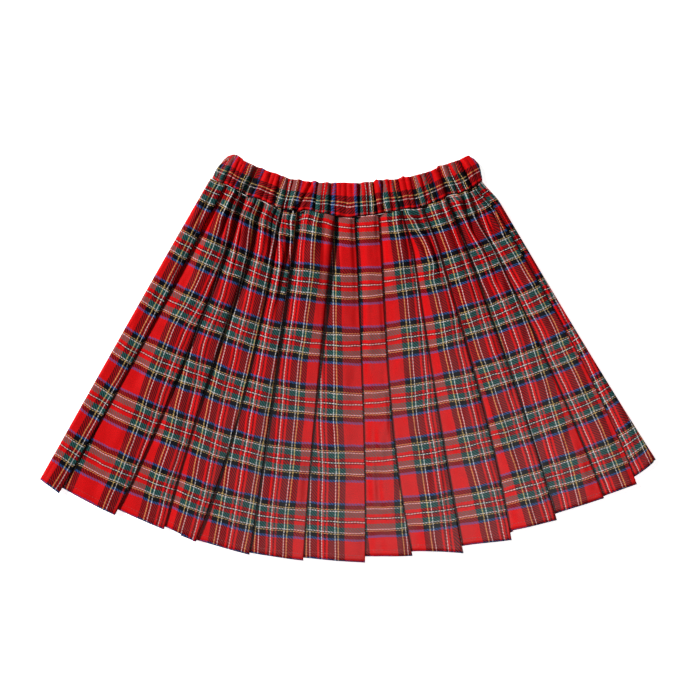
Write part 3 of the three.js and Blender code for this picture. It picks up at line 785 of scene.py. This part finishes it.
def buildBand(material):
    half = band["wall"] / 2
    top = band["topRadius"]
    seam = band["seamRadius"]
    # down the outside from the seam, over the folded top edge and back down the inside
    full = seam - band["lipDepth"]
    lip = [(seam, half * band["lipShare"]), (seam - 0.5, half * band["lipMid"])]
    rows = list(lip)
    for k in range(band["outsideRows"] + 1):
        f = k / band["outsideRows"]
        rows.append((full + (top + half - full) * f, half + band["swell"] * math.sin(math.pi * f)))
    for k in range(1, band["foldRows"]):
        q = math.radians(90 - 180 * k / band["foldRows"])
        rows.append((top + half - half * math.cos(q), half * math.sin(q)))
    for k in range(band["insideRows"] + 1):
        rows.append((top + half + (full - top - half) * k / band["insideRows"], -half))
    rows += [(radius, -offset) for radius, offset in reversed(lip)]
    sections = [(radius, offset, bandSection(radius)) for radius, offset in rows]
    around = len(sections[0][2])
    bm = bmesh.new()
    bmesh.ops.create_grid(bm, x_segments=around, y_segments=len(rows), size=1.0)
    uv = bm.loops.layers.uv.new("cloth")
    spots = {}
    lengths = [0.0]
    for a, b in zip(rows, rows[1:] + rows[:1]):
        lengths.append(lengths[-1] + math.hypot(a[0] - b[0], a[1] - b[1]))
    for vert in bm.verts:
        column = round((vert.co.x + 1) / 2 * around)
        k = round((vert.co.y + 1) / 2 * len(rows))
        radius, offset, path = sections[k % len(rows)]
        s, z, cloth = path[column % around]
        before = path[(column - 1) % around]
        after = path[(column + 1) % around]
        tangent = Vector((after[0] - before[0], after[1] - before[1])).normalized()
        angle = s / radius
        degrees = math.degrees(angle)
        up = smooth((seam - radius) / (seam - top))
        reach = radius - up * between(topFrill, degrees) + (1 - up) * between(seamSag, degrees)
        out = Vector((s - tangent.y * offset, z + tangent.x * offset))
        vert.co = placed(out.x / radius, reach, max(out.y, band["lowest"]))
        across = seam - lengths[k] - band["redStartRadius"]
        stretched = across * (band["topStretch"] if across > 0 else 1.0)
        wandered = noise.noise(Vector((degrees * band["wanderRate"], 0.0, band["wanderSeed"])))
        across = warpStripes[0][1] + stretched + band["wander"] * wandered
        turns = cloth if column < around else path[-1][2] + band["rollRate"]
        spots[vert] = (across / mapUnit, turns * lay["weftSett"] / mapUnit)
    for face in bm.faces:
        for loop in face.loops:
            loop[uv].uv = spots[loop.vert]
    bmesh.ops.remove_doubles(bm, verts=bm.verts, dist=1e-7)
    bmesh.ops.recalc_face_normals(bm, faces=bm.faces)
    print(band["name"], around, "by", len(rows))
    return newPiece(band["name"], bm, material)


# A line of stitches holds the narrow turned hem.
stitching = {"up": 7.2, "length": 2.3, "gap": 1.1, "radius": 0.2, "sides": 6}


def buildStitches(name, panel, material):
    row = 1 - stitching["up"] / lay["clothLength"]
    radius, path = panelSection(panel, row)
    bm = bmesh.new()
    onFace = [(sectionPoint(panel, row, radius, (p[0], p[1] + panelShape["hemTurn"], *p[2:])), p[5])
              for p in path]
    sunk = panelShape["thickness"] / 2 * mm * panel["side"]
    due = 0.0
    for (a, kindA), (b, kindB) in zip(onFace, onFace[1:]):
        if kindA != "face" or kindB != "face":
            continue
        span = (b - a).length
        step = b - a
        while due < span:
            centre = a + step * (due / span) + Vector((0, 0, sunk))
            turn = Vector((0, 0, 1)).rotation_difference(step.normalized()).to_matrix().to_4x4()
            bmesh.ops.create_cone(
                bm, cap_ends=True, segments=stitching["sides"], radius1=stitching["radius"] * mm,
                radius2=stitching["radius"] * mm, depth=stitching["length"] * mm,
                matrix=Matrix.Translation(centre) @ turn)
            due += (stitching["length"] + stitching["gap"]) * mm
        due -= span
    print(name, len(bm.faces) // (stitching["sides"] + 2), "stitches")
    return newPiece(name, bm, material)


twill = makeTartan("brushedTartanTwill", 0.16)
casing = makeTartan("gatheredTartanCasing", 0.2)
sewingThread = makeSewingThread()
print("materials ready")

frontPanel = buildPanel(front, twill)
backPanel = buildPanel(back, twill)
waistband = buildBand(casing)
frontStitches = buildStitches("frontHemStitches", front, sewingThread)
backStitches = buildStitches("backHemStitches", back, sewingThread)

for piece in (frontPanel, backPanel, waistband, frontStitches, backStitches):
    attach(piece, "root")
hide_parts("front_panel")
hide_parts("back_panel")
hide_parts("waistband")

# The camera looks straight down. Its aim and field are in metres.
studio = {
    "floor": "ffffff", "floorRoughness": 0.9, "floorSize": 4.0, "floorDrop": 0.2,
    "glow": 0.87, "air": "ffffff", "airLight": 0.035,
    "lens": 85.0, "sensor": 36.0, "fieldWidth": 0.770, "aimX": 0.00234, "aimY": 0.00677,
    "clothTop": 0.007,
}

# Acrylic top of a light table, glowing faintly under the garment.
acrylic = bpy.data.materials.new("lightTableAcrylic")
acrylic.use_nodes = True
acrylicShader = acrylic.node_tree.nodes["Principled BSDF"]
acrylicShader.inputs["Base Color"].default_value = hexToLinear(studio["floor"])
acrylicShader.inputs["Roughness"].default_value = studio["floorRoughness"]
acrylicShader.inputs["Emission Color"].default_value = hexToLinear(studio["floor"])
acrylicShader.inputs["Emission Strength"].default_value = studio["glow"]
floorMesh = bmesh.new()
bmesh.ops.create_grid(floorMesh, x_segments=2, y_segments=2, size=studio["floorSize"])
bmesh.ops.translate(floorMesh, verts=floorMesh.verts, vec=(0, 0, -studio["floorDrop"] * mm))
floor = newPiece("floor", floorMesh, acrylic)

world = bpy.data.worlds.new("studioWorld")
world.use_nodes = True
bpy.context.scene.world = world
background = world.node_tree.nodes["Background"]
background.inputs["Color"].default_value = hexToLinear(studio["air"])
background.inputs["Strength"].default_value = studio["airLight"]


def addLight(name, kind, location, power, aim=(0.0, 0.0, 0.0), **settings):
    data = bpy.data.lights.new(name, kind)
    data.energy = power
    for key, value in settings.items():
        setattr(data, key, value)
    lamp = bpy.data.objects.new(name, data)
    lamp.location = location
    lamp.rotation_euler = (Vector(aim) - Vector(location)).to_track_quat("-Z", "Y").to_euler()
    bpy.context.scene.collection.objects.link(lamp)
    return lamp


lights = [
    {"name": "farWindow", "kind": "SUN", "location": (-1.8, 0.95, 1.75), "power": 3.8,
     "angle": math.radians(9)},
    {"name": "softboxTop", "kind": "AREA", "location": (0.1, -0.1, 2.4), "power": 2.0, "size": 0.5},
    # a soft spot that only glosses the nap towards the hem
    {"name": "hemSpot", "kind": "SPOT", "location": (0.16, -0.48, 1.9), "power": 740.0,
     "aim": (0.1, -0.24, 0.0), "spot_size": math.radians(23), "spot_blend": 1.0,
     "shadow_soft_size": 0.12},
]
lamps = {light["name"]: addLight(**light) for light in lights}
lamps["hemSpot"].visible_diffuse = False
lamps["hemSpot"].visible_camera = False

camera = bpy.data.cameras.new("mainCamera")
camera.lens = studio["lens"]
camera.sensor_width = studio["sensor"]
cameraHeight = studio["clothTop"] + studio["fieldWidth"] * studio["lens"] / studio["sensor"]
cameraObject = bpy.data.objects.new("mainCamera", camera)
cameraObject.location = (studio["aimX"], studio["aimY"], cameraHeight)
bpy.context.scene.collection.objects.link(cameraObject)
bpy.context.scene.camera = cameraObject
bpy.context.scene.view_settings.view_transform = "Standard"
print("lights and camera placed")

bpy.context.view_layer.update()
